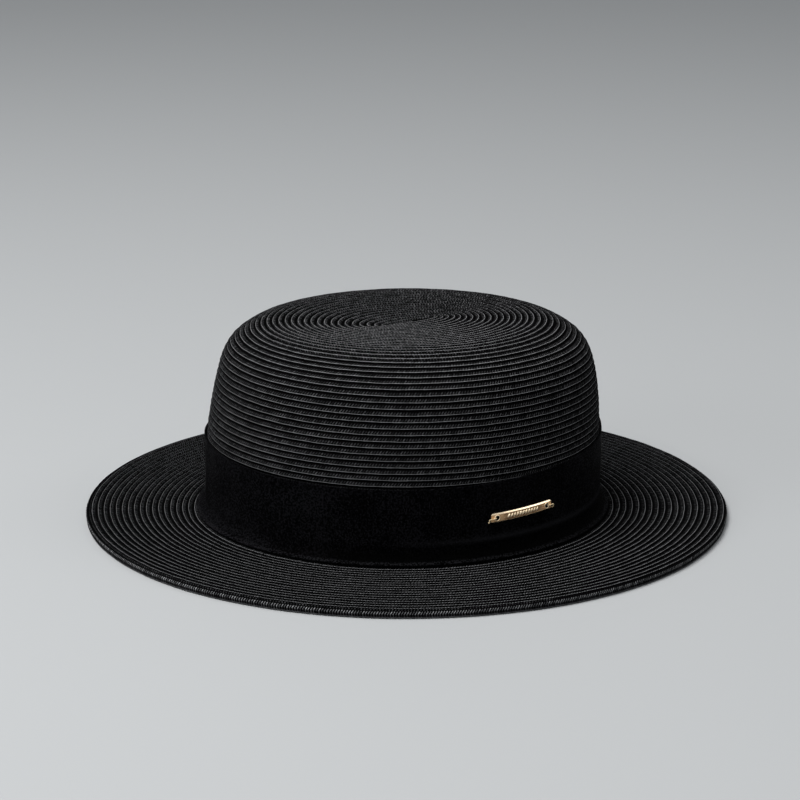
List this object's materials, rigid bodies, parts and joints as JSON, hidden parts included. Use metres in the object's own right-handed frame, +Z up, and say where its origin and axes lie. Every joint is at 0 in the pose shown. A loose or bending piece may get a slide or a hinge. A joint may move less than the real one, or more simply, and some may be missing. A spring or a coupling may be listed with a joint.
{
  "type": "straw hat",
  "caption": "Soft-shouldered straw boater with a flat oval brim, a turned-down edge braid, a wide plain ribbon and a small curved metal plate on the ribbon.",
  "frame": {"origin": "middle of the brim's outline, on the level of the edge braid's lower face", "axes": "+Z up through the crown, +X along the hat's long axis, -Y the side that carries the metal plate"},
  "size_m": [0.336, 0.3048, 0.1036],
  "materials": {
    "straw": "dyed black straw braid, satin",
    "edge_braid": "dyed black straw braid, satin",
    "ribbon": "matt woven ribbon",
    "plate": "polished pale gold plating",
    "wire": "gold wire"
  },
  "bodies": {
    "root": {"crown": "straw", "brim": "straw", "brim_edge": "edge_braid", "hat_band": "ribbon", "name_plate": "plate", "plate_pin_left": "wire", "plate_pin_right": "wire"}
  },
  "joints": []
}
